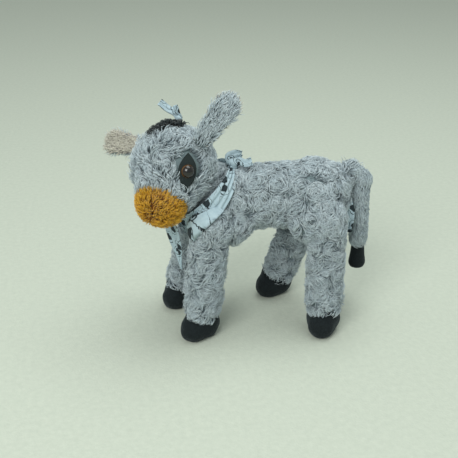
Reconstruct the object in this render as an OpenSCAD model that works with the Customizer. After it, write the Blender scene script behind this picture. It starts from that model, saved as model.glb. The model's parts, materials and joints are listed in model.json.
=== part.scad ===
// Plush toy donkey, standing, head turned to its left, with a printed cotton neck scarf.
// +Z is up, the nose end is towards -X and the donkey's left side is towards -Y.
// The origin is on the ground, under the middle of the toy's bounding box.

/* [Body] */
// Height of the body tube's centre line above the ground
body_z = 147; // [135:1:160]
// Radius of the body tube at the shoulders, over the pile
chest_r = 35; // [32:0.5:38]
// Radius of the body tube at the rump, over the pile
rump_r = 36; // [33:0.5:39]
// Thickness of the plush, backing and pile together
plush_t = 3; // [2:0.5:4]

/* [Legs] */
// Position of the front legs' swing axis along the body
shoulder_x = -38.5; // [-42:0.5:-35]
// Distance between the front and the hind legs' swing axes
leg_spacing = 125; // [115:1:135]
// Height of the swing axes above the ground
hip_z = 131; // [122:1:136]
// Distance of a leg's centre from the middle plane at the swing axis
hip_y = 37; // [37:0.5:42]
// Radius of a leg at the swing axis
thigh_r = 20; // [17:0.5:20]
// Radius of a leg just above its hoof
ankle_r = 18.5; // [15:0.5:19]
// Radius of a hoof
hoof_r = 19; // [16:0.5:20]
// Height of a hoof's centre above the ground
hoof_z = 15; // [12:0.5:17]
// Height of the seam between plush leg and velour hoof
hoof_seam_z = 25; // [21:0.5:30]

/* [Neck and head] */
// Radius of the soft neck's round end, over the pile
neck_r = 29; // [26:0.5:31]
// Radius of the skull
skull_r = 42; // [39:0.5:44]
// Radius of the snout at its end
snout_r = 25; // [22:0.5:28]
// Distance from the skull's centre to the snout's centre
snout_len = 45; // [40:1:50]
// Turn of the face from straight ahead towards the donkey's left
face_yaw = 60; // [45:1:70]
// Tilt of the face downwards
face_pitch = 36; // [25:1:45]
// Tilt of the face sideways, left side up
face_roll = 16; // [0:1:25]
// Diameter of a safety eye
eye_d = 13.5; // [10:0.5:16]
// Length of an ear from its root
ear_len = 60; // [50:1:68]
// Width of an ear at its widest
ear_w = 30; // [24:1:36]

/* [Tail] */
// Radius of the hanging tail, over the pile
tail_r = 11; // [9:0.5:12]
// Height of the tail's lower end above the ground, where the velour tip starts
tail_end_z = 86; // [80:1:100]
// Length of the velour tail tip below the plush
tail_tip_len = 30; // [22:1:40]

/* [Scarf] */
// Width of the folded scarf band
band_w = 8; // [6:0.5:9]
// Inner radius of the scarf round the neck
band_r = 40; // [40:0.5:43]
// Length of the scarf's point on the chest
point_len = 46; // [30:1:55]
// Thickness of the folded cotton
cotton_t = 1; // [0.6:0.1:1.5]

/* [Hidden] */

$fn = 64;
big = 400;
body_seam = 37;
head_seam = 20;
slim = 0.15;
LEFT = -1;
RIGHT = 1;

// Cloth and pile colours
grey_plush = [0.62, 0.68, 0.70];
pale_plush = [0.74, 0.74, 0.70];
ochre_plush = [0.75, 0.52, 0.16];
black_velour = [0.10, 0.11, 0.13];
cotton_print = [0.80, 0.86, 0.86];
fibre_white = [0.93, 0.93, 0.90];
eye_brown = [0.22, 0.12, 0.05];
washer_white = [0.90, 0.90, 0.86];

// Clearances between bodies
joint_gap = 0.3;
neck_room = 3;
leg_room = 1.5;
pocket_y = 16.5;

// Body tube
hip_x = shoulder_x + leg_spacing;
chest_x = shoulder_x + 8;
body_len = hip_x - chest_x;
gusset_z = body_z - 22;
chest_flap_x = shoulder_x - 8;
chest_flap_z = body_z - 5;

// Legs: [swing axis x, side, hoof centre x, hoof centre distance from the middle plane]
front_left = [shoulder_x, LEFT, shoulder_x - 12, 37];
front_right = [shoulder_x, RIGHT, shoulder_x - 29, 38];
hind_left = [hip_x, LEFT, hip_x - 1, 46];
hind_right = [hip_x, RIGHT, hip_x - 38, 48];
toe_len = 5;
toe_r = hoof_r - 2;
pocket_slope = 34;
pocket_drop = 30;

// Neck and head
neck_c = [shoulder_x - 12, 0, body_z + 21];
head_c = neck_c + [-21, -13, 24];
face_turn = [-face_roll, -face_pitch, face_yaw];
crown_z = 27;
crown_tilt = 75;
muzzle_x = -36;
muzzle_tilt = -22;
stem_d = 3.2;
stem_len = 15;
eye_from_nose_left = 62;
eye_from_nose_right = 74;
eye_lift = 27;
patch_t = 1.2;
patch_len = 37;
patch_w = 19;
patch_turn = 50;
washer_d = 15;
washer_t = 1.4;
washer_depth = 6;
mane_t = 5;
mane_half_w = 4.5;
mane_turn = [36, -22, -7];
mane_arc = 48;
ribbon_at = 8;
ribbon_knot_r = 3.5;

// Ears: root on the skull, direction and turn about its own length, in the face's frame
ear_root_left = [10, -36, 20];
ear_dir_left = [0.67, -0.66, 0.34];
ear_spin_left = 135;
ear_root_right = [10, 36, 20];
ear_dir_right = [0.22, 0.97, -0.03];
ear_spin_right = -110;
ear_t = 3;
lining_t = 2;
ear_root_gap = 1.8;

// Tail
tail_x = hip_x + 49;
tail_top_z = body_z + 21;
tail_root = [hip_x + 34, 0, body_z + 27];
tail_root_r = 9;
tail_bottom_r = 10;
tip_r = 8;
tip_pivot_z = tail_end_z - 6;

// Scarf: a ring round the neck, leaning forwards
band_c = [neck_c[0] + 4.6, 0, body_z + 12.2];
band_tilt = -43;
knot_r = 6;
point_top_z = body_z - 22;
point_x = neck_c[0] - 27;
point_half_w = 15;

// ---------- Shared solids ----------

// A sphere and a smaller or larger sphere at distance d along +Z, joined by a cone that lies
// waist inside their tangent cone. It is turned about its own axis, so that no flat cut runs
// along its seam line.
module round_cone(ra, rb, d, waist, seam_turn)
{
    s = (ra - rb) / d;
    c = sqrt(1 - s * s);
    rotate([0, 0, seam_turn])
    {
        sphere(r = ra);
        translate([0, 0, d]) sphere(r = rb);
        translate([0, 0, ra * s])
            cylinder(h = d + (rb - ra) * s, r1 = ra * c - waist, r2 = rb * c - waist);
    }
}

// The same, from point a to point b
module round_cone_between(a, b, ra, rb)
{
    v = b - a;
    translate(a)
        rotate([0, acos(v[2] / norm(v)), atan2(v[1], v[0])])
            round_cone(ra, rb, norm(v), slim, body_seam);
}

// Everything on one side of the plane through p, normal to +X turned by t
module half_space(p, t)
{
    translate(p) rotate(t) translate([0, -big / 2, -big / 2]) cube(big);
}

// ---------- Body ----------

module body_form(inset)
{
    translate([chest_x, 0, body_z])
        rotate([0, 90, 0])
            round_cone(chest_r - inset, rump_r - inset, body_len, slim, body_seam);
}

// Room for a leg's round top, open below so that the leg can swing
module leg_pocket(x, side)
{
    r = thigh_r + leg_room;
    y0 = side == LEFT ? -pocket_y - 60 : pocket_y;
    spread = r + pocket_drop * tan(pocket_slope);
    translate([x, y0 + 60, hip_z]) rotate([90, 0, 0]) linear_extrude(60)
    {
        circle(r = r);
        polygon([[-r, 0], [r, 0], [spread, -pocket_drop], [-spread, -pocket_drop]]);
    }
}

module body_openings()
{
    translate(neck_c) sphere(r = neck_r + neck_room);
    translate(tail_root) sphere(r = tail_root_r + joint_gap);
    for (side = [LEFT, RIGHT])
    {
        leg_pocket(shoulder_x, side);
        leg_pocket(hip_x, side);
    }
}

module body_shell()
{
    difference()
    {
        body_form(0);
        body_form(plush_t);
        body_openings();
    }
}

// The panel under the belly, which also comes up in front of the chest
module gusset_space()
{
    translate([-big / 2, -big / 2, gusset_z - big]) cube(big);
    translate([chest_flap_x - big, -big / 2, chest_flap_z - big]) cube(big);
}

module body_side(side)
{
    color(grey_plush) difference()
    {
        body_shell();
        gusset_space();
        translate([-big / 2, side == LEFT ? 0 : -big, -big / 2]) cube(big);
    }
}

module body_side_left() { body_side(LEFT); }

module body_side_right() { body_side(RIGHT); }

module belly_gusset()
{
    color(grey_plush) intersection()
    {
        body_shell();
        gusset_space();
    }
}

module body_stuffing()
{
    color(fibre_white) difference()
    {
        body_form(plush_t);
        body_openings();
    }
}

// ---------- Legs ----------

function hip_point(leg) = [leg[0], leg[1] * hip_y, hip_z];
function hoof_point(leg) = [leg[2], leg[1] * leg[3], hoof_z];

module leg_form(leg, inset)
{
    round_cone_between(hip_point(leg), hoof_point(leg), thigh_r - inset, ankle_r - inset);
}

// A hoof is a round bag with a toe to the front and a flat sole on the ground
module hoof_form(leg, inset)
{
    c = hoof_point(leg);
    intersection()
    {
        round_cone_between(c, c - [toe_len, 0, 1], hoof_r - inset, toe_r - inset);
        translate([-big / 2, -big / 2, inset]) cube(big);
    }
}

module above_seam()
{
    translate([-big / 2, -big / 2, hoof_seam_z]) cube(big);
}

module below_seam()
{
    translate([-big / 2, -big / 2, hoof_seam_z - big]) cube(big);
}

module leg_cover(leg)
{
    color(grey_plush) intersection()
    {
        difference()
        {
            leg_form(leg, 0);
            leg_form(leg, plush_t);
        }
        above_seam();
    }
}

module hoof(leg)
{
    color(black_velour) intersection()
    {
        difference()
        {
            hoof_form(leg, 0);
            hoof_form(leg, plush_t);
        }
        below_seam();
    }
}

module leg_stuffing(leg)
{
    color(fibre_white)
    {
        intersection()
        {
            leg_form(leg, plush_t);
            above_seam();
        }
        intersection()
        {
            hoof_form(leg, plush_t);
            below_seam();
        }
    }
}

module leg_cover_front_left() { leg_cover(front_left); }
module hoof_front_left() { hoof(front_left); }
module leg_stuffing_front_left() { leg_stuffing(front_left); }
module leg_cover_front_right() { leg_cover(front_right); }
module hoof_front_right() { hoof(front_right); }
module leg_stuffing_front_right() { leg_stuffing(front_right); }
module leg_cover_hind_left() { leg_cover(hind_left); }
module hoof_hind_left() { hoof(hind_left); }
module leg_stuffing_hind_left() { leg_stuffing(hind_left); }
module leg_cover_hind_right() { leg_cover(hind_right); }
module hoof_hind_right() { hoof(hind_right); }
module leg_stuffing_hind_right() { leg_stuffing(hind_right); }

// ---------- Neck ----------

module neck_cover()
{
    color(grey_plush) translate(neck_c) difference()
    {
        sphere(r = neck_r);
        sphere(r = neck_r - plush_t);
    }
}

module neck_stuffing()
{
    color(fibre_white) translate(neck_c) sphere(r = neck_r - plush_t);
}

// ---------- Head ----------

// Puts a part drawn with its nose towards -X onto the turned head
module at_face()
{
    translate(head_c) rotate(face_turn) children();
}

module head_form(inset, waist)
{
    rotate([0, -90, 0]) round_cone(skull_r - inset, snout_r - inset, snout_len, waist, head_seam);
}

// Puts a part drawn along +Z onto an eye, with +Z pointing out of the head
module at_eye(side)
{
    from_nose = side == LEFT ? eye_from_nose_left : eye_from_nose_right;
    mirror([0, side == LEFT ? 0 : 1, 0])
        rotate([0, 0, 180])
            rotate([0, 0, atan2(sin(from_nose) * cos(eye_lift), cos(from_nose))])
                rotate([0, acos(sin(from_nose) * sin(eye_lift)), 0])
                    children();
}

module eye_bores(d)
{
    for (side = [LEFT, RIGHT])
        at_eye(side) translate([0, 0, skull_r / 2]) cylinder(h = skull_r, d = d);
}

module washer_place(side)
{
    at_eye(side) translate([0, 0, skull_r - washer_depth]) children();
}

module head_shell()
{
    difference()
    {
        at_face() difference()
        {
            head_form(0, 0);
            head_form(plush_t, 0);
            eye_bores(stem_d);
        }
        translate(neck_c) sphere(r = neck_r + joint_gap);
    }
}

module muzzle_space()
{
    at_face() half_space([muzzle_x, 0, 0], [0, muzzle_tilt, 180]);
}

module forehead_space()
{
    at_face() half_space([0, 0, crown_z], [0, -crown_tilt, 0]);
}

module face_side(side)
{
    color(grey_plush) difference()
    {
        head_shell();
        muzzle_space();
        forehead_space();
        at_face() translate([-big / 2, side == LEFT ? 0 : -big, -big / 2]) cube(big);
    }
}

module face_side_left() { face_side(LEFT); }

module face_side_right() { face_side(RIGHT); }

module forehead_gusset()
{
    color(grey_plush) difference()
    {
        intersection()
        {
            head_shell();
            forehead_space();
        }
        muzzle_space();
    }
}

module muzzle_cover()
{
    color(ochre_plush) intersection()
    {
        head_shell();
        muzzle_space();
    }
}

module head_stuffing()
{
    color(fibre_white) difference()
    {
        at_face() difference()
        {
            head_form(plush_t, slim);
            eye_bores(stem_d);
            for (side = [LEFT, RIGHT]) washer_place(side) cylinder(h = washer_t, d = washer_d);
        }
        translate(neck_c) sphere(r = neck_r + joint_gap);
    }
}

// A pointed oval: where two equal circles overlap
module almond(len, w)
{
    r = (len * len + w * w) / (4 * w);
    intersection()
    {
        translate([r - w / 2, 0]) circle(r = r);
        translate([w / 2 - r, 0]) circle(r = r);
    }
}

module eye_patch(side)
{
    color(black_velour) at_face() intersection()
    {
        difference()
        {
            head_form(-patch_t, 0);
            head_form(0, 0);
            eye_bores(stem_d);
        }
        at_eye(side) translate([0, 0, skull_r / 2])
            linear_extrude(skull_r)
                rotate(90 - patch_turn) almond(patch_len, patch_w);
    }
}

module eye_patch_left() { eye_patch(LEFT); }

module eye_patch_right() { eye_patch(RIGHT); }

// A safety eye: a dome on a plastic stem that goes through the felt and the plush
module eye(side)
{
    seat = skull_r + patch_t + 0.9;
    r = eye_d / 2;
    color(eye_brown) at_face() at_eye(side)
    {
        translate([0, 0, seat]) intersection()
        {
            translate([0, 0, -1.5]) sphere(r = r * 1.02);
            translate([0, 0, big / 2]) cube(big, center = true);
        }
        translate([0, 0, seat - stem_len]) cylinder(h = stem_len, d = stem_d);
    }
}

module eye_left() { eye(LEFT); }

module eye_right() { eye(RIGHT); }

module eye_washer(side)
{
    color(washer_white) at_face() washer_place(side) difference()
    {
        cylinder(h = washer_t, d = washer_d);
        translate([0, 0, -1]) cylinder(h = washer_t + 2, d = stem_d);
    }
}

module eye_washer_left() { eye_washer(LEFT); }

module eye_washer_right() { eye_washer(RIGHT); }

// Turns a part drawn round +Z, from +X towards +Y, to the mane's arc over the crown
module at_mane()
{
    at_face() rotate(mane_turn) children();
}

// A strip of black pile across the top of the head
module mane_strip()
{
    color(black_velour) at_mane()
        rotate_extrude(angle = mane_arc)
            translate([skull_r, -mane_half_w]) square([mane_t, 2 * mane_half_w]);
}

module at_ribbon()
{
    at_mane() rotate([0, 0, ribbon_at])
        translate([skull_r + mane_t + ribbon_knot_r, 0, 0]) children();
}

// A cotton ribbon knotted into the mane
module mane_ribbon_knot()
{
    color(cotton_print) at_ribbon() sphere(r = ribbon_knot_r);
}

// The ribbon's long and short ends
module mane_ribbon_ends()
{
    color(cotton_print) at_ribbon()
    {
        rotate([0, 12, 41])
            translate([ribbon_knot_r + 0.5, -5, -cotton_t / 2]) cube([26, 10, cotton_t]);
        rotate([0, -25, 20])
            translate([ribbon_knot_r + 0.5, -3, -cotton_t / 2]) cube([14, 6, cotton_t]);
    }
}

// ---------- Ears ----------

// Puts an ear drawn along +Z, its faces towards +Y and -Y, onto the skull
module at_ear(root, dir, spin)
{
    gap = skull_r + ear_t / 2 + ear_root_gap;
    at_face() translate(root / norm(root) * gap)
        rotate([0, acos(dir[2] / norm(dir)), atan2(dir[1], dir[0])])
            rotate([0, 0, spin])
                children();
}

// A leaf with a straight root, drawn inset from the ear's edge and starting at root_y
module ear_outline(inset, root_y)
{
    r = ear_w / 2 - inset;
    c = ear_len - ear_w / 2;
    root = r * 0.62;
    translate([0, c]) circle(r = r);
    polygon([[-root, root_y], [root, root_y], [r, c], [-r, c]]);
}

module ear_outer()
{
    color(grey_plush)
    {
        translate([0, ear_t / 2, 0]) rotate([90, 0, 0]) linear_extrude(ear_t) ear_outline(0, 0);
        translate([-ear_w * 0.31, 0, 0]) rotate([0, 90, 0]) cylinder(h = ear_w * 0.62, d = ear_t);
    }
}

module ear_lining()
{
    color(pale_plush)
        translate([0, -ear_t / 2, 0]) rotate([90, 0, 0]) linear_extrude(lining_t)
            ear_outline(2, 4);
}

module ear_outer_left() { at_ear(ear_root_left, ear_dir_left, ear_spin_left) ear_outer(); }

module ear_lining_left() { at_ear(ear_root_left, ear_dir_left, ear_spin_left) ear_lining(); }

module ear_outer_right() { at_ear(ear_root_right, ear_dir_right, ear_spin_right) ear_outer(); }

module ear_lining_right() { at_ear(ear_root_right, ear_dir_right, ear_spin_right) ear_lining(); }

// ---------- Tail ----------

module tail_form(inset)
{
    top = [tail_x, 0, tail_top_z];
    round_cone_between(tail_root, top, tail_root_r - inset, tail_r - inset);
    translate([tail_x, 0, tail_end_z])
        cylinder(
            h = tail_top_z - tail_end_z,
            r1 = tail_bottom_r - inset,
            r2 = tail_r - inset - slim
        );
}

// Room for the tip's round top in the tail's lower end
module tip_room()
{
    translate([tail_x, 0, tip_pivot_z]) sphere(r = tip_r + joint_gap);
}

module tail_cover()
{
    color(grey_plush) difference()
    {
        tail_form(0);
        tail_form(plush_t);
        tip_room();
    }
}

module tail_stuffing()
{
    color(fibre_white) difference()
    {
        tail_form(plush_t);
        tip_room();
    }
}

// A limp bag of black velour, a little wider at its lower end
module tail_tip()
{
    color(black_velour) translate([tail_x, 0, tip_pivot_z])
    {
        sphere(r = tip_r);
        translate([0, 0, tip_pivot_z - tail_end_z - tail_tip_len + 12])
            cylinder(h = tail_tip_len - 6, r1 = tip_r + 0.5, r2 = tip_r);
    }
}

// A strip of printed cotton sewn in under the tail
module tail_ribbon()
{
    color(cotton_print)
        translate([hip_x + rump_r + 0.6, -7, body_z - 34]) cube([cotton_t, 11, 32]);
}

// ---------- Scarf ----------

module at_band()
{
    translate(band_c) rotate([0, band_tilt, 0]) children();
}

module scarf_band()
{
    color(cotton_print) at_band()
        rotate_extrude() translate([band_r, -band_w / 2]) square([cotton_t, band_w]);
}

module scarf_knot()
{
    color(cotton_print) at_band()
        translate([band_r + cotton_t + knot_r - 1, 0, 0]) difference()
        {
            sphere(r = knot_r);
            translate([-big - knot_r + 1, -big / 2, -big / 2]) cube(big);
        }
}

// The two free ends of the scarf, behind the knot
module scarf_ends()
{
    color(cotton_print) at_band() translate([band_r + cotton_t + 2 * knot_r - 1.5, 0, 0])
        for (side = [LEFT, RIGHT])
            rotate([0, 0, side * 50]) translate([0, 0, -4]) rotate([0, 24, 0])
                translate([0, -cotton_t / 2, -5]) cube([18, cotton_t, 10]);
}

// The pointed front of the folded square, hanging on the chest
module scarf_point()
{
    color(cotton_print)
        translate([point_x, 0, point_top_z]) rotate([90, 0, -90]) linear_extrude(cotton_t)
            polygon([[-point_half_w, 0], [point_half_w, 0], [0, -point_len]]);
}

body_side_left();
body_side_right();
belly_gusset();
body_stuffing();
scarf_band();
scarf_knot();
scarf_ends();
scarf_point();
tail_ribbon();
neck_cover();
neck_stuffing();
face_side_left();
face_side_right();
forehead_gusset();
muzzle_cover();
head_stuffing();
eye_patch_left();
eye_patch_right();
eye_left();
eye_right();
eye_washer_left();
eye_washer_right();
mane_strip();
mane_ribbon_knot();
mane_ribbon_ends();
ear_outer_left();
ear_lining_left();
ear_outer_right();
ear_lining_right();
leg_cover_front_left();
hoof_front_left();
leg_stuffing_front_left();
leg_cover_front_right();
hoof_front_right();
leg_stuffing_front_right();
leg_cover_hind_left();
hoof_hind_left();
leg_stuffing_hind_left();
leg_cover_hind_right();
hoof_hind_right();
leg_stuffing_hind_right();
tail_cover();
tail_stuffing();
tail_tip();
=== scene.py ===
"""Plush toy donkey: curly grey pile, ochre muzzle, black velour hooves, printed cotton scarf."""

import math
import bpy
import numpy as np
from mathutils import Matrix, Vector, kdtree, noise
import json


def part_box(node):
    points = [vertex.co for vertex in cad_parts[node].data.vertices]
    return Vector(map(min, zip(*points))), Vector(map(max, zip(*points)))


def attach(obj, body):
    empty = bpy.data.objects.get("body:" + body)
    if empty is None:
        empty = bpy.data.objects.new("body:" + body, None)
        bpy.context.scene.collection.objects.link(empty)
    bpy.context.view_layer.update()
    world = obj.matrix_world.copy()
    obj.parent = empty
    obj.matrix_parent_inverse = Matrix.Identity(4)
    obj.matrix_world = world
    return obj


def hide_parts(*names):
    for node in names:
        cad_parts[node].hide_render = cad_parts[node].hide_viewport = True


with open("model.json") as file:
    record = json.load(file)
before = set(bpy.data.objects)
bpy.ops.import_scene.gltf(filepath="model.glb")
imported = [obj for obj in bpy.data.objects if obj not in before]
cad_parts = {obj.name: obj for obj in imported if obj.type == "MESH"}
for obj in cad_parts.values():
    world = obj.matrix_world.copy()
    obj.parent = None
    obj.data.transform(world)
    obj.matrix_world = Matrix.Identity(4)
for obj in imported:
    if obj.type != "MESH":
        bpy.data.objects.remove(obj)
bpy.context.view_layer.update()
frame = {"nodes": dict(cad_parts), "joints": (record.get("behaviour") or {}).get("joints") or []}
mm = 0.001

# ---------- Camera, table and lights ----------
# The toy stands on a pale felt cloth in soft daylight from a big window in front of it,
# a little to its left, with a pale room giving the light from all other sides.

scene = bpy.context.scene
scene.view_settings.view_transform = "Standard"

aim = Vector((-16.5, -18.0, 118.0)) * mm
camera_distance = 900 * mm
camera_azimuth = math.radians(-8)
camera_elevation = math.radians(25)
seen_width = 495 * mm

bpy.ops.object.select_all(action="DESELECT")
bpy.ops.object.camera_add()
camera = bpy.context.object
backwards = Vector((
    math.sin(camera_azimuth) * math.cos(camera_elevation),
    -math.cos(camera_azimuth) * math.cos(camera_elevation),
    math.sin(camera_elevation),
))
camera.location = aim + backwards * camera_distance
camera.rotation_mode = "QUATERNION"
camera.rotation_quaternion = (-backwards).to_track_quat("-Z", "Y")
camera.data.sensor_width = 36
camera.data.lens = camera.data.sensor_width * camera_distance / seen_width
camera.data.clip_start = 10 * mm
camera.data.clip_end = 50
scene.camera = camera


def paint(red, green, blue):
    """A colour as seen on a colour card, 0 to 255, in the linear numbers that shaders take."""
    shares = [c / 255 for c in (red, green, blue)]
    linear = [s / 12.92 if s <= 0.04045 else ((s + 0.055) / 1.055) ** 2.4 for s in shares]
    return (*linear, 1.0)


class Number:
    """A socket that gives a number; sums and products of it add Math nodes."""

    def __init__(self, tree, socket):
        self.tree = tree
        self.socket = socket

    def maths(self, operation, a, b):
        made = self.tree.nodes.new("ShaderNodeMath")
        made.operation = operation
        for place, value in zip(made.inputs, (a, b)):
            if isinstance(value, Number):
                self.tree.links.new(value.socket, place)
            else:
                place.default_value = value
        return Number(self.tree, made.outputs[0])

    def __add__(self, other):
        return self.maths("ADD", self, other)

    def __radd__(self, other):
        return self.maths("ADD", other, self)

    def __sub__(self, other):
        return self.maths("SUBTRACT", self, other)

    def __rsub__(self, other):
        return self.maths("SUBTRACT", other, self)

    def __mul__(self, other):
        return self.maths("MULTIPLY", self, other)

    def __rmul__(self, other):
        return self.maths("MULTIPLY", other, self)

    def __lt__(self, other):
        return self.maths("LESS_THAN", self, other)

    def __gt__(self, other):
        return self.maths("GREATER_THAN", self, other)


class Finish:
    """One material. Its principled shader's own sockets take the values given by name."""

    def __init__(self, name, **values):
        self.material = bpy.data.materials.new(name)
        self.material.use_nodes = True
        self.tree = self.material.node_tree
        self.shader = self.tree.nodes["Principled BSDF"]
        self.feed(self.shader, {k.replace("_", " "): v for k, v in values.items()})

    def feed(self, node, values):
        for name, value in values.items():
            if isinstance(value, Number):
                self.tree.links.new(value.socket, node.inputs[name])
            else:
                node.inputs[name].default_value = value

    def node(self, kind, settings=None, values=None, output=0):
        """A node of that kind, with its settings made first and then its sockets fed."""
        made = self.tree.nodes.new("ShaderNode" + kind)
        for name, value in (settings or {}).items():
            if name == "stops":
                ramp = made.color_ramp
                while len(ramp.elements) < len(value):
                    ramp.elements.new(0.5)
                for element, (place, colour) in zip(ramp.elements, value):
                    element.position = place
                    element.color = colour
            else:
                setattr(made, name, value)
        self.feed(made, values or {})
        return Number(self.tree, made.outputs[output])

    def place(self):
        """The piece's own Object coordinates."""
        return self.node("TexCoord", output=3)

    def speckle(self, size, detail=2.0, rough=0.5):
        """Noise whose patches are about that size, in metres, from 0 to 1."""
        values = {"Vector": self.place(), "Scale": 1 / size, "Detail": detail, "Roughness": rough}
        return self.node("TexNoise", values=values)

    def between(self, share, first, second):
        """The mix of two colours, by a share from 0 to 1."""
        mixer = self.tree.nodes.new("ShaderNodeMix")
        mixer.data_type = "RGBA"
        for place, value in ((0, share), (6, first), (7, second)):
            if isinstance(value, Number):
                self.tree.links.new(value.socket, mixer.inputs[place])
            else:
                mixer.inputs[place].default_value = value
        return Number(self.tree, mixer.outputs[2])

    def bump(self, height, strength, depth):
        """A Bump node on the shader's normal, with that depth in metres."""
        values = {"Height": height, "Strength": strength, "Distance": depth}
        self.feed(self.shader, {"Normal": self.node("Bump", values=values)})

    def put_on(self, piece):
        piece.data.materials.clear()
        piece.data.materials.append(self.material)


floor_size = 9.0
bpy.ops.mesh.primitive_plane_add(size=floor_size, location=(0, 0, 0))
table = bpy.context.object
table.name = "felt_table"
felt = Finish("pale_felt", Roughness=0.95)
felt_tone = felt.speckle(6 * mm, 4.0)
felt.feed(felt.shader, {
    "Base Color": felt.between(felt_tone, paint(190, 196, 183), paint(208, 213, 199)),
})
felt.bump(felt.speckle(2.5 * mm, 3.0), 0.5, 0.6 * mm)
felt.put_on(table)

world = bpy.data.worlds.new("pale_room")
scene.world = world
world.use_nodes = True
room_light = world.node_tree.nodes["Background"]
room_light.inputs["Color"].default_value = (0.87, 0.95, 0.93, 1)
room_light.inputs["Strength"].default_value = 0.50


def window(name, place, size, power, colour):
    """A soft rectangular light at that place, facing the toy."""
    bpy.ops.object.light_add(type="AREA", location=place)
    lamp = bpy.context.object
    lamp.name = name
    lamp.data.size = size
    lamp.data.energy = power
    lamp.data.color = colour
    lamp.rotation_mode = "QUATERNION"
    lamp.rotation_quaternion = (aim - Vector(place)).to_track_quat("-Z", "Y")


window("window_front", (-0.9, -1.5, 1.5), 1.1, 27, (0.97, 1.0, 0.97))
window("window_top", (0.3, 0.2, 1.7), 1.2, 13, (0.94, 1.0, 0.97))

# ---------- Body: stuffed bag ----------
# The body is a bag of knitted backing cloth filled with polyester fibre. It carries the round
# shoulders and haunches that the legs are sewn into, and the root of the neck.

joints = {j["name"]: j for j in frame["joints"]}
legs = ("front_left", "front_right", "hind_left", "hind_right")


def pivot(name):
    """The point that a joint turns about."""
    return Vector(joints[name]["pos_m"])


def alone(piece):
    """Makes a piece the only selected one, and the active one."""
    bpy.ops.object.select_all(action="DESELECT")
    piece.select_set(True)
    bpy.context.view_layer.objects.active = piece


def settle(piece):
    """Puts a piece's place, turn and scale into its mesh."""
    alone(piece)
    bpy.ops.object.transform_apply(location=True, rotation=True, scale=True)


def ball(centre, radius):
    bpy.ops.mesh.primitive_uv_sphere_add(
        segments=32, ring_count=16, radius=radius, location=centre)
    return bpy.context.object


def rod(a, b, radius_a, radius_b):
    """A cone from point a to point b that just touches the balls of those radii at its ends."""
    a, b = Vector(a), Vector(b)
    along = b - a
    lean = (radius_a - radius_b) / along.length
    thin = math.sqrt(1 - lean * lean)
    low = a + along.normalized() * radius_a * lean
    high = b + along.normalized() * radius_b * lean
    bpy.ops.mesh.primitive_cone_add(
        vertices=32, radius1=radius_a * thin, radius2=radius_b * thin,
        depth=(high - low).length, location=(low + high) / 2,
        rotation=along.to_track_quat("Z", "Y").to_euler())
    return bpy.context.object


def joined(name, pieces):
    bpy.ops.object.select_all(action="DESELECT")
    for piece in pieces:
        piece.select_set(True)
    bpy.context.view_layer.objects.active = pieces[0]
    if len(pieces) > 1:
        bpy.ops.object.join()
    piece = bpy.context.object
    piece.name = name
    piece.data.name = name
    settle(piece)
    return piece


def finished_with(piece, kind, **settings):
    """Adds a modifier with those settings and applies it."""
    alone(piece)
    modifier = piece.modifiers.new(kind.lower(), kind)
    for name, value in settings.items():
        setattr(modifier, name, value)
    bpy.ops.object.modifier_apply(modifier=modifier.name)


def corners(mesh):
    """A mesh's vertices, a row each."""
    co = np.empty(len(mesh.vertices) * 3, np.float32)
    mesh.vertices.foreach_get("co", co)
    return co.reshape(-1, 3).astype(float)


def moved_to(mesh, co):
    mesh.vertices.foreach_set("co", co.astype(np.float32).ravel())
    mesh.update()


def lumps(piece, size, height):
    """Soft lumps of filling, of that size and height, pushed out from inside."""
    mesh = piece.data
    co = corners(mesh)
    normals = np.array([v.normal for v in mesh.vertices])
    heave = np.array([noise.noise(Vector(p) / size) for p in co])
    moved_to(mesh, co + normals * (heave * height)[:, None])


def filled(piece, most):
    """Blows the bag up with its filling, and lets no point move further than most."""
    before = corners(piece.data)
    alone(piece)
    cloth = piece.modifiers.new("filling", "CLOTH")
    cloth.settings.quality = 4
    cloth.settings.use_pressure = True
    cloth.settings.uniform_pressure_force = 4
    cloth.settings.effector_weights.gravity = 0
    cloth.point_cache.frame_start = 1
    cloth.point_cache.frame_end = 20
    for step in range(1, 21):
        scene.frame_set(step)
    bpy.ops.object.modifier_apply(modifier=cloth.name)
    shift = corners(piece.data) - before
    length = np.linalg.norm(shift, axis=1, keepdims=True)
    length[length < 1e-9] = 1e-9
    moved_to(piece.data, before + shift * np.minimum(1, most / length))
    scene.frame_set(1)


def stuffed(name, chains, voxel=3.5 * mm, rounds=8, swell=1.2 * mm, lump=0.8 * mm):
    """A stuffed bag round chains of balls, each chain a list of (centre, radius)."""
    parts = []
    for chain in chains:
        parts += [ball(centre, radius) for centre, radius in chain]
        parts += [rod(a, b, ra, rb) for (a, ra), (b, rb) in zip(chain, chain[1:])]
    bag = joined(name, parts)
    finished_with(bag, "REMESH", mode="VOXEL", voxel_size=voxel)
    finished_with(bag, "SMOOTH", factor=0.6, iterations=rounds)
    lumps(bag, 17 * mm, lump)
    filled(bag, swell)
    finished_with(bag, "SUBSURF", levels=1, render_levels=1)
    bpy.ops.object.shade_smooth()
    return bag


backing = Finish("grey_backing", Roughness=0.9)
backing_tone = backing.speckle(5 * mm, 3.0)
backing.feed(backing.shader, {
    "Base Color": backing.between(backing_tone, paint(108, 124, 128), paint(136, 152, 156)),
})
backing.bump(backing.speckle(1.2 * mm), 0.6, 0.5 * mm)

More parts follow.
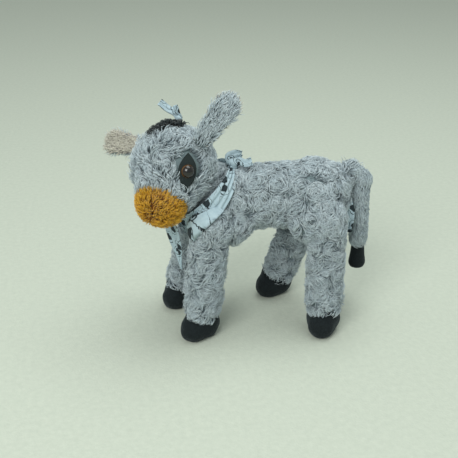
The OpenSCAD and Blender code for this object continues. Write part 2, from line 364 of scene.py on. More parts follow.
pile_depth = 4 * mm
body_low, body_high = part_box("body_stuffing")
tube_z = (body_low.z + body_high.z) / 2
chest_r = 35 * mm - pile_depth
rump_r = 36 * mm - pile_depth
chest = Vector((body_low.x + 32 * mm, 0, tube_z))
rump = Vector((body_high.x - 33 * mm, 0, tube_z))
neck_centre = pivot("neck_turn")
haunch_r = 18.5 * mm
neck_root_r = 25.5 * mm
tail_root = pivot("tail_lift")
shoulder = pivot("swing_front_left")
haunch = pivot("swing_hind_left")
elbow_back = Vector((shoulder.x + 22 * mm, 0, shoulder.z - 6 * mm))
thigh_front = Vector((haunch.x - 14 * mm, 0, haunch.z - 1 * mm))

body_bag = stuffed("body_plush", [
    [(chest, chest_r), (rump, rump_r)],
    [(chest, chest_r), (neck_centre, neck_root_r)],
    [(tail_root, 6.5 * mm), (rump, 20 * mm)],
    *[[(pivot("swing_" + leg), haunch_r)] for leg in legs],
    *[[(elbow_back + Vector((0, side * 22, 0)) * mm, 17.5 * mm),
       (elbow_back + Vector((22, side * 11, 8)) * mm, 16 * mm)] for side in (-1, 1)],
    *[[(thigh_front + Vector((0, side * 31, 0)) * mm, 21.5 * mm),
       (rump + Vector((-4, side * 8, 3)) * mm, 30 * mm)] for side in (-1, 1)],
])
backing.put_on(body_bag)
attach(body_bag, "torso")
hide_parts("body_stuffing")

# ---------- Body: curly pile ----------
# Long polyester pile, knitted into the backing and set in small rosettes. Each lock of it curls
# round the middle of its rosette; its colour is painted dark at the root as shade deep in the pile
# and light at the tip as a painted highlight.

path_steps = 4
ring_shape = np.array([0.72, 1.0, 0.88, 0.55])


def rosettes(skin, spacing, seed):
    """Middles of the pile's rosettes, spread over a skin and no closer than spacing."""
    rng = np.random.default_rng(seed)
    co = corners(skin.data)
    kept = np.empty((0, 3))
    for at in rng.permutation(len(co)):
        if not len(kept) or np.linalg.norm(kept - co[at], axis=1).min() > spacing:
            kept = np.vstack([kept, co[at]])
    return kept


def roots_on(skin, per_cm2, rng):
    """Points spread over a skin, and the skin's normals there."""
    mesh = skin.data
    mesh.calc_loop_triangles()
    tri = np.empty(len(mesh.loop_triangles) * 3, np.int32)
    mesh.loop_triangles.foreach_get("vertices", tri)
    tri = tri.reshape(-1, 3)
    co = corners(mesh)
    normals = np.empty(len(mesh.vertices) * 3, np.float32)
    mesh.vertices.foreach_get("normal", normals)
    normals = normals.reshape(-1, 3).astype(float)
    a, b, c = co[tri[:, 0]], co[tri[:, 1]], co[tri[:, 2]]
    area = np.linalg.norm(np.cross(b - a, c - a), axis=1) / 2
    count = int(area.sum() * 1e4 * per_cm2)
    pick = rng.choice(len(tri), count, p=area / area.sum())
    u, v = rng.random((2, count, 1))
    flip = u + v > 1
    u, v = np.where(flip, 1 - u, u), np.where(flip, 1 - v, v)
    share = (1 - u - v, u, v)
    at = sum(s * co[tri[pick, k]] for k, s in enumerate(share))
    out = sum(s * normals[tri[pick, k]] for k, s in enumerate(share))
    return at, unit(out)


def unit(rows):
    return rows / np.maximum(np.linalg.norm(rows, axis=1, keepdims=True), 1e-12)


def flat_to(rows, out):
    """The part of each row that lies in the skin."""
    return rows - out * (rows * out).sum(1, keepdims=True)


def turned(rows, out, angle):
    """Rows that lie in the skin, turned about its normal."""
    return rows * np.cos(angle)[:, None] + np.cross(out, rows) * np.sin(angle)[:, None]


def nearest(points, to):
    """For each of the rows in to, the number of the nearest point."""
    tree = kdtree.KDTree(len(points))
    for number, p in enumerate(points):
        tree.insert(p, number)
    tree.balance()
    return np.array([tree.find(p)[1] for p in to])


def locks(name, path, out, width, tone, rng):
    """A mesh of closed three-sided locks, one along each path (lock, step, xyz)."""
    count, steps = path.shape[:2]
    rings = steps - 1
    along = np.diff(path, axis=1)
    side = np.cross(out[:, None, :], along)
    side /= np.maximum(np.linalg.norm(side, axis=2, keepdims=True), 1e-12)
    up = np.cross(along, side)
    up /= np.maximum(np.linalg.norm(up, axis=2, keepdims=True), 1e-12)
    turn = np.radians([90, 210, 330])
    wide = (width[:, None] * ring_shape[None, :rings])[:, :, None, None]
    ring = side[:, :, None, :] * np.cos(turn)[None, None, :, None]
    ring = ring + up[:, :, None, :] * np.sin(turn)[None, None, :, None] * 0.7
    ring = path[:, :rings, None, :] + ring * wide / 2
    each = rings * 3 + 1
    co = np.concatenate([ring.reshape(count, rings * 3, 3), path[:, -1:, :]], axis=1)
    faces = [(2, 1, 0)]
    for r in range(rings - 1):
        for k in range(3):
            n = (k + 1) % 3
            faces.append((r * 3 + k, r * 3 + n, r * 3 + 3 + n, r * 3 + 3 + k))
    last = (rings - 1) * 3
    faces += [(last + k, last + (k + 1) % 3, each - 1) for k in range(3)]
    sizes = np.array([len(f) for f in faces])
    flat = np.concatenate([np.array(f) for f in faces])
    index = (flat[None, :] + (np.arange(count) * each)[:, None]).ravel()
    starts = np.concatenate([[0], np.cumsum(np.tile(sizes, count))[:-1]])
    mesh = bpy.data.meshes.new(name)
    mesh.vertices.add(count * each)
    mesh.vertices.foreach_set("co", co.astype(np.float32).ravel())
    mesh.loops.add(len(index))
    mesh.loops.foreach_set("vertex_index", index.astype(np.int32))
    mesh.polygons.add(len(starts))
    mesh.polygons.foreach_set("loop_start", starts.astype(np.int32))
    mesh.polygons.foreach_set("use_smooth", np.ones(len(starts), bool))
    mesh.update(calc_edges=True)
    height = np.concatenate([np.repeat(np.arange(rings) / rings, 3), [1.0]])
    shade = np.stack([
        np.repeat(tone, each),
        np.tile(height, count),
        np.repeat(rng.random(count), each),
    ], axis=1)
    mesh.attributes.new("lock", "FLOAT_VECTOR", "POINT").data.foreach_set(
        "vector", shade.astype(np.float32).ravel())
    spread = np.concatenate([np.tile([-0.012, 0.0, 0.012], rings), [0.0]])
    u = 0.03 + 0.94 * shade[:, 0] + np.tile(spread, count)
    v = 0.02 + 0.96 * shade[:, 1]
    place = np.stack([u, v], axis=1)[index]
    mesh.uv_layers.new(name="OFBake").uv.foreach_set("vector", place.astype(np.float32).ravel())
    piece = bpy.data.objects.new(name, mesh)
    scene.collection.objects.link(piece)
    return piece


def pile(name, skin, keep, flow, per_cm2=49, long=16 * mm, wide=1.15 * mm, rise=6 * mm,
         whorls=None, whorl_size=16 * mm, swirl=0.85, curl=1.7, bend=30 * mm, clump=0.5,
         loose=0.3, seed=1):
    """Curly pile on the part of a skin where keep says so. flow is the way that it is brushed,
    bend is the radius that the skin has on the whole, and rise is how far it stands up."""
    rng = np.random.default_rng(seed)
    root, out = roots_on(skin, per_cm2, rng)
    wanted = keep(root, out)
    root, out = root[wanted], out[wanted]
    count = len(root)
    brushed = unit(flat_to(flow(root), out) + 1e-9)
    way = brushed
    spin = rng.normal(0, 1, count) * 0.5
    if whorls is not None:
        number = nearest(whorls, root)
        away = flat_to(root - whorls[number], out)
        far = np.linalg.norm(away, axis=1, keepdims=True)
        away = unit(away)
        hand = np.where(number % 3 == 0, -1.0, 1.0)
        swirling = turned(away, out, hand * np.radians(rng.uniform(65, 130, count)))
        share = swirl * np.clip(1.5 - far / whorl_size, 0.3, 1)
        way = unit(swirling * share + brushed * (1 - share))
        spin = hand + rng.normal(0, 0.35, count)
    way = unit(flat_to(way + rng.normal(0, loose, (count, 3)), out))
    length = long * rng.uniform(0.65, 1.2, count)
    lift = rise * rng.uniform(0.55, 1.25, count)
    droop = rng.uniform(0.42, 0.74, count) * math.pi
    here = root.copy()
    path = [root - out * 0.6 * mm]
    for step in range(1, path_steps + 1):
        share = step / path_steps
        heading = turned(way, out, spin * curl * (share - 0.5 / path_steps))
        here = here + heading * (length / path_steps)[:, None]
        away = np.linalg.norm(here - root, axis=1)
        height = lift * np.sin(min(1.0, share * 1.1) * droop)
        path.append(here + out * (height - away ** 2 / (2 * bend))[:, None])
    path = np.stack(path, axis=1)
    heads = rng.permutation(count)[: max(1, count // 8)]
    group = nearest(root[heads], root)
    pull = clump * (np.arange(path_steps + 1) / path_steps) ** 1.6
    path = path + (path[heads[group]] - path) * pull[None, :, None]
    width = wide * rng.uniform(0.6, 1.25, count)
    group_tone = rng.random(len(heads))[group]
    tone = np.clip(0.5 + 0.34 * (group_tone - 0.5) + 0.5 * (rng.random(count) - 0.5), 0.02, 0.98)
    return locks(name, path, out, width, tone, rng)


def pile_finish(name, root, tip, pale_tip, rough=0.55, sheen=0.25):
    """Pile painted from a dark root, which stands for shade deep in the pile, to a light tip, which is a
    painted highlight; some locks paler than others.
    """
    finish = Finish(name, Roughness=rough, Sheen_Weight=sheen, Sheen_Roughness=0.4)
    finish.shader.inputs["Specular IOR Level"].default_value = 0.35
    lock = finish.node("Attribute", {"attribute_name": "lock"}, output=1)
    parts = finish.tree.nodes.new("ShaderNodeSeparateXYZ")
    finish.tree.links.new(lock.socket, parts.inputs[0])
    tone = Number(finish.tree, parts.outputs[0])
    height = Number(finish.tree, parts.outputs[1])
    # Share of painted light by height along the lock: painted shade at the root, painted highlight at
    # the tip.
    painted_light_share = finish.node("MapRange", {"interpolation_type": "SMOOTHSTEP"}, {
        "Value": height, "From Min": 0.0, "From Max": 0.8, "To Min": 0.0, "To Max": 1.0})
    end = finish.between(tone, tip, pale_tip)
    finish.feed(finish.shader, {"Base Color": finish.between(painted_light_share, root, end)})
    return finish


def backwards_and_down(root):
    return np.tile([0.8, 0.0, -0.5], (len(root), 1))


# Root colour is painted shade deep in the pile; the two tip colours are painted highlight, the paler one
# for paler locks.
grey_pile = pile_finish("grey_pile", paint(126, 140, 149), paint(187, 202, 210), paint(222, 231, 235))
gusset_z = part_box("body_side_left")[0].z
chest_flap = Vector((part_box("belly_gusset")[0].x + 14 * mm, 0, tube_z - 5 * mm))
body_whorls = rosettes(body_bag, 17 * mm, 11)
hips = np.array([pivot("swing_" + leg) for leg in legs])


def under_belly(root):
    """Where the belly panel is: below its seam, and up the front of the chest."""
    front = (root[:, 0] < chest_flap.x) & (root[:, 2] < chest_flap.z)
    near_leg = np.linalg.norm(root[:, None, :] - hips[None], axis=2).min(1) < 23 * mm
    return ((root[:, 2] < gusset_z) & ~near_leg) | front


def shown(root):
    """Not inside the neck's own ball, which the head and neck pile covers."""
    return np.linalg.norm(root - np.array(neck_centre), axis=1) > 24 * mm


body_piles = {
    "body_pile_left": ("body_side_left", lambda p, n: ~under_belly(p) & (p[:, 1] < 0) & shown(p), 21),
    "body_pile_right": ("body_side_right", lambda p, n: ~under_belly(p) & (p[:, 1] >= 0) & shown(p), 22),
    "belly_pile": ("belly_gusset", lambda p, n: under_belly(p) & shown(p), 23),
}
for name, (node, keep, seed) in body_piles.items():
    panel = pile(name, body_bag, keep, backwards_and_down, whorls=body_whorls, bend=34 * mm, seed=seed)
    grey_pile.put_on(panel)
    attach(panel, "torso")
    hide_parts(node)

# ---------- Legs ----------
# Each leg is a limp tube of the same plush, stuffed less firmly than the body and sewn into it
# at the top. A short bag of black velour, sewn on below, is the hoof.

leg_ways = {}
for number, leg in enumerate(legs):
    hip = pivot("swing_" + leg)
    low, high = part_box("hoof_" + leg)
    hoof = Vector((high.x - 19 * mm, (low.y + high.y) / 2, 15 * mm))
    leg_ways[leg] = (hip, hoof)

velour = Finish("black_velour", Roughness=0.85, Sheen_Weight=0.6, Sheen_Roughness=0.35)
velour.shader.inputs["Sheen Tint"].default_value = paint(120, 130, 136)
velour.shader.inputs["Specular IOR Level"].default_value = 0.2
velour_tone = velour.speckle(1.6 * mm, 3.0, 0.65)
velour.feed(velour.shader, {
    "Base Color": velour.between(velour_tone, paint(6, 9, 11), paint(38, 46, 49)),
})
velour.bump(velour.speckle(1.1 * mm, 2.0), 0.9, 0.9 * mm)

leg_r = 17.5 * mm
ankle_r = 16 * mm
seam_z = 25 * mm
toe_ways = {
    "front_left": (-0.75, -0.66, 0),
    "front_right": (-0.55, -0.83, 0),
    "hind_left": (-0.35, -0.94, 0),
    "hind_right": (-0.8, -0.6, 0),
}


def hoof_bag(name, hoof, forward):
    """A velour bag with a blunt toe, flat below and drawn in at the ankle seam."""
    toe = hoof + forward * 12 * mm + Vector((0, 0, -3 * mm))
    heel = hoof - forward * 3 * mm
    parts = [
        ball(heel, 19 * mm),
        ball(toe, 15 * mm),
        rod(heel, toe, 19 * mm, 15 * mm),
        rod(hoof, hoof + Vector((0, 0, 14 * mm)), 17 * mm, 15.5 * mm),
    ]
    bag = joined(name, parts)
    finished_with(bag, "REMESH", mode="VOXEL", voxel_size=2 * mm)
    finished_with(bag, "SMOOTH", factor=0.6, iterations=6)
    lumps(bag, 9 * mm, 0.8 * mm)
    filled(bag, 0.8 * mm)
    finished_with(bag, "SUBSURF", levels=1, render_levels=1)
    co = corners(bag.data)
    floor = 0.3 * mm
    low = co[:, 2] < 4 * mm
    share = np.clip((4 * mm - co[low, 2]) / (4 * mm), 0, 3)
    co[low, 2] = np.maximum(4 * mm - 4 * mm * np.tanh(share * 1.1), floor)
    moved_to(bag.data, co)
    alone(bag)
    bpy.ops.object.shade_smooth()
    return bag


for number, leg in enumerate(legs):
    hip, hoof = leg_ways[leg]
    body = "leg_" + leg
    shaft = (hoof - hip).normalized()
    ankle = hip + shaft * ((hip.z - seam_z - 6 * mm) / -shaft.z)
    bag = stuffed("leg_plush_" + leg, [[(hip, leg_r), (ankle, ankle_r)]], swell=1 * mm, lump=1.4 * mm)
    backing.put_on(bag)
    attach(bag, body)
    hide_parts("leg_stuffing_" + leg)
    whorls = rosettes(bag, 15 * mm, 31 + number)

    def on_leg(p, n, hip=hip):
        outside = np.linalg.norm(p - np.array(hip), axis=1) > haunch_r - 3 * mm
        return (p[:, 2] > seam_z - 2 * mm) & outside

    def down_leg(root, shaft=shaft):
        return np.tile(np.array(shaft), (len(root), 1))

    coat = pile("leg_pile_" + leg, bag, on_leg, down_leg, whorls=whorls, whorl_size=13 * mm,
                bend=21 * mm, swirl=0.65, seed=41 + number)
    grey_pile.put_on(coat)
    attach(coat, body)
    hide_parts("leg_cover_" + leg)
    foot = hoof_bag("hoof_velour_" + leg, hoof, Vector(toe_ways[leg]))
    velour.put_on(foot)
    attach(foot, body)
    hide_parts("hoof_" + leg)

# ---------- Neck ----------
# A soft ball of stuffed plush that carries the head, hidden for the most part by the scarf.

neck_bag = stuffed("neck_plush", [[(neck_centre, 25 * mm)]])
backing.put_on(neck_bag)
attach(neck_bag, "neck")
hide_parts("neck_stuffing")
neck_whorls = rosettes(neck_bag, 15 * mm, 51)
neck_coat = pile("neck_pile", neck_bag, lambda p, n: p[:, 2] > 0, backwards_and_down, per_cm2=36,
                 whorls=neck_whorls, bend=27 * mm, seed=52)
grey_pile.put_on(neck_coat)
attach(neck_coat, "neck")
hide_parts("neck_cover")

# ---------- Head ----------
# A round stuffed head with a short snout, cut from two face sides, a forehead gusset and a
# muzzle of longer ochre pile.

face_yaw, face_pitch, face_roll = math.radians(60), math.radians(36), math.radians(16)
face = (Matrix.Rotation(face_yaw, 3, "Z") @ Matrix.Rotation(-face_pitch, 3, "Y")
        @ Matrix.Rotation(-face_roll, 3, "X"))
head_centre = neck_centre + Vector((-21, -13, 24)) * mm
skull_r = 42 * mm
snout_r = 25 * mm
snout_len = 45 * mm


def on_head(x, y, z):
    """A point given in the face's own directions: nose -X, left -Y, crown +Z."""
    return head_centre + face @ (Vector((x, y, z)) * mm)


def in_face(root):
    """Points in the face's own directions."""
    return (root - np.array(head_centre)) @ np.array(face)


skull_in = 4.5 * mm
head_bag = stuffed("head_plush", [
    [(head_centre, skull_r - skull_in), (on_head(-45, 0, 0), snout_r - skull_in)],
    [(head_centre, 30 * mm), (neck_centre, 24.5 * mm)],
], lump=1.2 * mm)
backing.put_on(head_bag)
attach(head_bag, "head")
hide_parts("head_stuffing")
head_whorls = rosettes(head_bag, 16 * mm, 61)

nose_tip = on_head(-45, 0, 0)


def from_nose(root):
    return root - np.array(nose_tip)


def on_muzzle(p, n=None):
    f = in_face(p)
    lean = math.radians(-8)
    return (f[:, 0] + 45 * mm) * math.cos(lean) - f[:, 2] * math.sin(lean) < 0


def on_forehead(p):
    f = in_face(p)
    lean = math.radians(75)
    return f[:, 0] * math.cos(lean) + (f[:, 2] - 27 * mm) * math.sin(lean) > 0


eye_sides = {"left": (1, math.radians(62)), "right": (-1, math.radians(74))}
eye_lift = math.radians(27)
snout_edge = math.acos((skull_r - snout_r) / snout_len)


def eye_way(side):
    """The directions at an eye, as columns: across, up and out of the head."""
    hand, off_nose = eye_sides[side]
    around = math.atan2(math.sin(off_nose) * math.cos(eye_lift), math.cos(off_nose))
    from_top = math.acos(math.sin(off_nose) * math.sin(eye_lift))
    turn = (Matrix.Rotation(math.pi + around, 3, "Z") @ Matrix.Rotation(from_top, 3, "Y"))
    return face @ Matrix.Diagonal((1, hand, 1)) @ turn


def on_skin(ways, lift):
    """Points on the head along the rows of ways, at that height above its skin."""
    ways = unit(ways)
    nose = np.array(face @ Vector((-1, 0, 0)))
    off_nose = np.arccos(np.clip(ways @ nose, -1, 1))
    skin = skull_r / np.cos(np.maximum(snout_edge - off_nose, 0))
    return np.array(head_centre) + ways * (skin + lift)[:, None]


patch_half = 17.5 * mm
patch_wide = 9.2 * mm
patch_turn = math.radians(40)


def in_patch(p, side, margin):
    """Where an eye patch lies: 0 along its middle and 1 at its edge, widened by a margin."""
    q = (p - np.array(head_centre)) @ np.array(eye_way(side))
    x = q[:, 0] * math.cos(patch_turn) + q[:, 1] * math.sin(patch_turn)
    y = q[:, 1] * math.cos(patch_turn) - q[:, 0] * math.sin(patch_turn)
    wide = (patch_wide + margin) * np.clip(1 - (y / (patch_half + margin)) ** 2, 0.001, 1)
    return np.where(q[:, 2] > 0, np.abs(x) / wide, 9)


mane_way = face @ (Matrix.Rotation(math.radians(-7), 3, "Z")
                   @ Matrix.Rotation(math.radians(-22), 3, "Y")
                   @ Matrix.Rotation(math.radians(36), 3, "X"))


def along_mane(p, line, reach):
    """Whether points lie along the mane's arc, within a reach either side of a line across it."""
    q = (p - np.array(head_centre)) @ np.array(mane_way)
    angle = np.degrees(np.arctan2(q[:, 1], q[:, 0]))
    return (angle > 2) & (angle < 47) & (np.abs(q[:, 2] - line) < reach)


def on_mane(p, n=None):
    return along_mane(p, 4 * mm, 8 * mm)


def bare(p):
    """Where something else is sewn on and no grey or ochre pile grows."""
    left = in_patch(p, "left", 3.6 * mm) < 1
    right = in_patch(p, "right", 0.5 * mm) < 1
    return left | right | along_mane(p, 7 * mm, 13 * mm)


head_piles = {
    "forehead_pile": ("forehead_gusset", lambda f, p: on_forehead(p), 62),
    "face_pile_left": ("face_side_left", lambda f, p: ~on_forehead(p) & (f < 0), 63),
    "face_pile_right": ("face_side_right", lambda f, p: ~on_forehead(p) & (f >= 0), 64),
}
for name, (node, part, seed) in head_piles.items():
    def keep(p, n, part=part):
        return part(in_face(p)[:, 1], p) & ~on_muzzle(p) & ~bare(p)

    panel = pile(name, head_bag, keep, from_nose, whorls=head_whorls, long=11 * mm, bend=40 * mm,
                 swirl=0.45, curl=1.0, rise=6.8 * mm, seed=seed)
    grey_pile.put_on(panel)
    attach(panel, "head")
    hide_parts(node)


def round_right_eye(p, n):
    """A ring of skin round the right eye's patch, where the locks are longer and hide it."""
    return (in_patch(p, "right", 0) > 1) & (in_patch(p, "right", 9 * mm) < 1) & ~on_muzzle(p)


brow = pile("brow_pile_right", head_bag, round_right_eye, from_nose, per_cm2=90, long=11 * mm,
            rise=11.5 * mm, curl=0.8, bend=42 * mm, seed=66)
grey_pile.put_on(brow)
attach(brow, "head")
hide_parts("face_side_right")

ochre_backing = Finish("ochre_backing", Roughness=0.9)
ochre_tone = ochre_backing.speckle(3 * mm, 2.0)
ochre_backing.feed(ochre_backing.shader, {
    "Base Color": ochre_backing.between(ochre_tone, paint(128, 74, 18), paint(160, 98, 24)),
})
muzzle_bag = stuffed("muzzle_plush", [[(nose_tip, 21 * mm)]], voxel=2.5 * mm, rounds=3,
                     swell=0.5 * mm, lump=0.6 * mm)
ochre_backing.put_on(muzzle_bag)
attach(muzzle_bag, "head")
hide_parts("muzzle_cover")

# Root colour is painted shade deep in the pile; the two tip colours are painted highlight, the paler one
# for paler locks.
ochre_pile = pile_finish("ochre_pile", paint(158, 96, 12), paint(216, 156, 26), paint(236, 190, 64))
mouth = np.array(on_head(-65, 3, 4))


def from_mouth(root):
    return root - mouth


muzzle = pile("muzzle_pile", muzzle_bag, on_muzzle, from_mouth, per_cm2=100, long=8 * mm,
              wide=1.0 * mm, rise=6.6 * mm, bend=24 * mm, curl=0.7, clump=0.5, loose=0.45, seed=65)
ochre_pile.put_on(muzzle)
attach(muzzle, "head")
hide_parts("muzzle_cover")

# ---------- Eye patches ----------
# Pointed ovals cut from black felt and glued on flat, with the eye's stem through them.

patch_felt = Finish("black_felt", Roughness=0.95)
patch_felt_tone = patch_felt.speckle(1.2 * mm, 3.0, 0.7)
patch_felt.feed(patch_felt.shader, {
    "Base Color": patch_felt.between(patch_felt_tone, paint(10, 16, 17), paint(40, 52, 53)),
})
patch_felt.bump(patch_felt.speckle(0.9 * mm), 0.8, 0.5 * mm)

for side in eye_sides:
    bpy.ops.object.select_all(action="DESELECT")
    bpy.ops.mesh.primitive_grid_add(x_subdivisions=12, y_subdivisions=36, size=2)
    patch = bpy.context.object
    patch.name = patch.data.name = "eye_patch_felt_" + side
    flat = corners(patch.data)
    y = flat[:, 1] * patch_half * 0.995
    x = flat[:, 0] * patch_wide * (1 - (flat[:, 1] * 0.985) ** 2)
    across = x * math.cos(patch_turn) - y * math.sin(patch_turn)
    up = x * math.sin(patch_turn) + y * math.cos(patch_turn)
    out = np.sqrt(skull_r ** 2 - across ** 2 - up ** 2)
    ways = np.stack([across, up, out], axis=1) @ np.array(eye_way(side)).T
    moved_to(patch.data, on_skin(ways, 0.9 * mm))
    if side == "right":
        patch.data.flip_normals()
    finished_with(patch, "SOLIDIFY", thickness=1.2 * mm, offset=0)
    bpy.ops.object.shade_smooth()
    patch_felt.put_on(patch)
    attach(patch, "head")
    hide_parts("eye_patch_" + side)

# ---------- Eyes ----------
# Domes of hard plastic, brown with an amber rim and a black pupil, each held by a toothed
# washer pressed on its stem inside the head.

for side in eye_sides:
    eye = frame["nodes"]["eye_" + side]
    out = eye_way(side).col[2]
    heights = [(eye.matrix_world @ v.co - head_centre).dot(out) for v in eye.data.vertices]
    rim, top = skull_r + 2.1 * mm, max(heights)
    glass = Finish("eye_plastic_" + side, Roughness=0.2, Coat_Weight=0.5, Coat_Roughness=0.03)
    place = [glass.node("SeparateXYZ", values={"Vector": glass.place()}, output=k) for k in range(3)]
    height = place[0] * out.x + place[1] * out.y + place[2] * out.z
    start = rim + head_centre.dot(out)
    share = (height - start) * (1 / (top - rim))
    iris = glass.node("ValToRGB", {"stops": [
        (0.0, paint(30, 18, 10)),
        (0.20, paint(112, 78, 38)),
        (0.30, paint(84, 54, 26)),
        (0.40, paint(28, 16, 9)),
        (0.80, paint(20, 11, 7)),
        (0.86, paint(4, 4, 5)),
    ]}, {"Fac": share})
    glass.feed(glass.shader, {"Base Color": iris})
    glass.put_on(eye)
    washer = Finish("washer_plastic_" + side, Roughness=0.45)
    washer_tone = washer.speckle(3 * mm)
    washer.feed(washer.shader, {
        "Base Color": washer.between(washer_tone, paint(222, 222, 216), paint(236, 236, 230)),
    })
    washer.put_on(frame["nodes"]["eye_washer_" + side])

# ---------- Mane ----------
# A strip of long black pile sewn across the crown, its strands combed forwards over the seam.

# Root colour is painted shade deep in the pile; the two tip colours are painted highlight, the paler one
# for paler locks.
black_pile = pile_finish("black_pile", paint(6, 9, 10), paint(26, 34, 36), paint(50, 60, 63), 0.6, 0.3)
mane_front = np.array(mane_way.col[2])
mane_side = np.array(mane_way.col[1])


def combed(root):
    return np.tile(mane_front + 0.35 * mane_side, (len(root), 1))


mane = pile("mane_pile", head_bag, on_mane, combed, per_cm2=150, long=14 * mm, wide=1.5 * mm,
            rise=10 * mm, curl=0.5, bend=42 * mm, clump=0.35, loose=0.5, seed=71)
black_pile.put_on(mane)
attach(mane, "head")
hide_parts("mane_strip")

# ---------- Mane ribbon ----------
# A strip of pale cotton, printed with dark blots in thin wavy rings, tied round a few strands
# of the mane. Its two ends stand up.

cotton = Finish("printed_cotton", Roughness=0.85)
weave = cotton.node("UVMap", {"uv_map": "cloth"})
wave = cotton.node("TexNoise", values={"Vector": weave, "Scale": 150.0, "Detail": 2.0}, output=1)
bent = cotton.node("VectorMath", {"operation": "MULTIPLY_ADD"},
                   {0: wave, 1: (0.007, 0.007, 0), 2: weave})
spot = cotton.node("TexVoronoi", {"voronoi_dimensions": "2D"},
                   {"Vector": bent, "Scale": 54.0, "Randomness": 0.7})
wander = cotton.node("TexNoise", values={"Vector": weave, "Scale": 62.0, "Detail": 1.0})
ink = ((spot < 0.21) + (spot > 0.33) * (spot < 0.36)
       + (wander > 0.497) * (wander < 0.503) * (spot > 0.36))
cloth_tone = cotton.speckle(4 * mm, 2.0)
cloth_paint = cotton.between(cloth_tone, paint(158, 180, 191), paint(188, 206, 214))
cotton.feed(cotton.shader, {
    "Base Color": cotton.between(ink, cloth_paint, paint(30, 42, 48)),
})
cotton.bump(cotton.speckle(1.0 * mm), 0.4, 0.3 * mm)


def cloth_strip(name, spine, side, width, ripple=0.8 * mm, folds=1.5, thick=0.5 * mm, cells=10):
    """A strip of cotton along a spine, with its cross direction and width at each point."""
    spine, side = np.array(spine, float), unit(np.array(side, float))
    width = np.broadcast_to(np.array(width, float), (len(spine),))
    bpy.ops.object.select_all(action="DESELECT")
    bpy.ops.mesh.primitive_grid_add(x_subdivisions=len(spine) - 1, y_subdivisions=cells, size=2)
    strip = bpy.context.object
    strip.name = strip.data.name = name
    flat = corners(strip.data)
    at = np.rint((flat[:, 0] + 1) / 2 * (len(spine) - 1)).astype(int)
    step = np.gradient(spine, axis=0)
    face_out = unit(np.cross(step, side))
    share = flat[:, 1]
    heave = np.sin(share * math.pi * folds + at * 0.22) * ripple
    co = spine[at] + side[at] * (share * width[at] / 2)[:, None] + face_out[at] * heave[:, None]
    moved_to(strip.data, co)
    run = np.concatenate([[0], np.cumsum(np.linalg.norm(np.diff(spine, axis=0), axis=1))])
    layer = strip.data.uv_layers.new(name="cloth")
    for loop in strip.data.loops:
        v = loop.vertex_index
        layer.data[loop.index].uv = (run[at[v]], share[v] * width[at[v]] / 2)
    finished_with(strip, "SOLIDIFY", thickness=thick, offset=0)
    bpy.ops.object.shade_smooth()
    cotton.put_on(strip)
    return strip


def curve_through(points, count):
    """Points evenly along a smooth curve through a few, as rows."""
    points = np.array(points, float)
    marks = np.linspace(0, len(points) - 1, count)
    low = np.clip(marks.astype(int), 0, len(points) - 2)
    t = (marks - low)[:, None]
    before = points[np.maximum(low - 1, 0)]
    a, b = points[low], points[low + 1]
    after = points[np.minimum(low + 2, len(points) - 1)]
    return 0.5 * (2 * a + (b - before) * t + (2 * before - 5 * a + 4 * b - after) * t ** 2
                  + (3 * a - before - 3 * b + after) * t ** 3)


def knot(name, centre, radius):
    """A knot of cotton: a soft ball with creases round it."""
    lump = ball(centre, radius)
    lump.name = lump.data.name = name
    settle(lump)
    co = corners(lump.data)
    off = co - np.array(centre)
    crease = np.sin(np.arctan2(off[:, 1], off[:, 2]) * 5 + off[:, 0] / radius * 2)
    moved_to(lump.data, np.array(centre) + off * (1 + 0.10 * crease)[:, None])
    layer = lump.data.uv_layers.new(name="cloth")
    for loop in lump.data.loops:
        x, y, z = off[loop.vertex_index]
        layer.data[loop.index].uv = (x, z)
    alone(lump)
    bpy.ops.object.shade_smooth()
    cotton.put_on(lump)
    return lump


def at_mane(angle, radius, towards=0.0):
    """A point over the mane, at that angle along its arc."""
    turn = math.radians(angle)
    return head_centre + mane_way @ (Vector((math.cos(turn) * radius, math.sin(turn) * radius,
                                             towards)) * mm)


ribbon_knot = knot("mane_ribbon_knot_cloth", at_mane(8, 49.5, 2), 3.6 * mm)
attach(ribbon_knot, "head")
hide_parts("mane_ribbon_knot")
long_spine = curve_through([at_mane(8, 49.5, 2), at_mane(12, 55, 3), at_mane(20, 61, 1),
                            at_mane(26, 69, 2)], 20)
short_spine = curve_through([at_mane(8, 49.5, 2), at_mane(10, 56, 6), at_mane(12, 62, 8)], 12)
for name, spine, wide, flat in (
    ("mane_ribbon_long_end", long_spine, 7.5 * mm, (0.0105, 0.028)),
    ("mane_ribbon_short_end", short_spine, 5 * mm, (0.01, 0.0155)),
):
    level = np.cross(np.gradient(spine, axis=0), mane_front)
    strip = cloth_strip(name, spine, level, wide, 0.9 * mm, 2.0, cells=8)
    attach(strip, "head")
    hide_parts("mane_ribbon_ends")

# ---------- Ears ----------
# Flat leaves of grey plush lined with cream plush, folded at the root and sewn on at the
# sides of the crown.

# Root colour is painted shade deep in the pile; the two tip colours are painted highlight, the paler one
# for paler locks.
cream_pile = pile_finish("cream_pile", paint(150, 142, 136), paint(206, 200, 186), paint(232, 228, 214))
